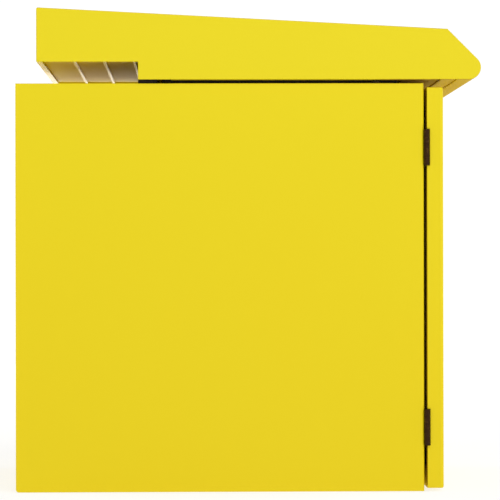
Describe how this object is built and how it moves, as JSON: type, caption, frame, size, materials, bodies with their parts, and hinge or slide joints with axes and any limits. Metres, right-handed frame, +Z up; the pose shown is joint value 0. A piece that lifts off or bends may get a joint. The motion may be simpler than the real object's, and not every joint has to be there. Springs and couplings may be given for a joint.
{
  "type": "mailbox",
  "caption": "Wall or post mailbox in folded sheet steel: square cabinet, hinged front door with cam lock, and a sloping overhanging lid that tips up at the front to open a letter slot.",
  "frame": {"origin": "centre of the whole object's plan, on the plane of the cabinet's underside", "axes": "+Z up, the door faces -Y, the door's hinges are on the -X side"},
  "size_m": [0.306, 0.3876, 0.4029],
  "materials": {
    "cabinet_paint": "yellow powder coat",
    "lid_paint": "yellow powder coat",
    "hinge_bronze": "dark bronze, worn",
    "zinc_steel": "zinc plated",
    "black_steel": "black electro-coat",
    "lock_chrome": "satin chrome",
    "rubber": "matt",
    "nylon": "natural nylon",
    "plate_aluminium": "satin anodised",
    "card": "plain paper card",
    "window": "clear"
  },
  "bodies": {
    "cabinet": {"cabinet_wrap": "cabinet_paint", "left_side": "cabinet_paint", "right_side": "cabinet_paint", "top_panel": "cabinet_paint", "mouth_seal": "rubber", "mail_chute": "cabinet_paint", "chute_rivets": "zinc_steel", "lid_ear_left": "black_steel", "lid_ear_right": "black_steel", "ear_screws": "black_steel", "ear_nuts": "black_steel", "pivot_bushes": "nylon", "lid_bumpers": "rubber", "lid_stop_pads": "rubber", "door_buffers": "rubber", "hinge_cabinet_leaf_lower": "hinge_bronze", "hinge_cabinet_leaf_upper": "hinge_bronze", "hinge_pin_lower": "hinge_bronze", "hinge_pin_upper": "hinge_bronze", "hinge_cabinet_screws": "zinc_steel", "hinge_cabinet_nuts": "zinc_steel"},
    "door": {"door_panel": "cabinet_paint", "door_stiffener": "cabinet_paint", "hinge_door_leaf_lower": "hinge_bronze", "hinge_door_leaf_upper": "hinge_bronze", "hinge_door_screws": "zinc_steel", "hinge_door_nuts": "zinc_steel", "lock_housing": "lock_chrome", "lock_washer": "zinc_steel", "lock_nut": "zinc_steel", "nameplate_frame": "plate_aluminium", "nameplate_card": "card", "nameplate_window": "window", "nameplate_rivets": "zinc_steel"},
    "lock": {"lock_plug": "lock_chrome", "lock_cam": "zinc_steel", "lock_cam_screw": "zinc_steel"},
    "lid": {"lid_wrap": "lid_paint", "lid_cheek_left": "lid_paint", "lid_cheek_right": "lid_paint", "lid_tail_pan": "lid_paint", "lid_front_pan": "lid_paint", "lid_tail_rib_1": "lid_paint", "lid_tail_rib_2": "lid_paint", "lid_tail_rib_3": "lid_paint", "lid_front_rib": "lid_paint", "lid_studs": "zinc_steel", "stud_clips": "zinc_steel"}
  },
  "joints": [
    {"name": "door_hinge", "type": "hinge", "parent": "cabinet", "child": "door", "pos_m": [-0.15, -0.1486, 0.17], "axis": [0, 0, -1], "range_deg": [0, 170]},
    {"name": "lid_pivot", "type": "hinge", "parent": "cabinet", "child": "lid", "pos_m": [0, 0.0838, 0.355], "axis": [-1, 0, 0], "range_deg": [0, 10]},
    {"name": "lock_turn", "type": "hinge", "parent": "door", "child": "lock", "pos_m": [0.115, -0.1562, 0.19], "axis": [0, -1, 0], "range_deg": [0, 90]}
  ]
}
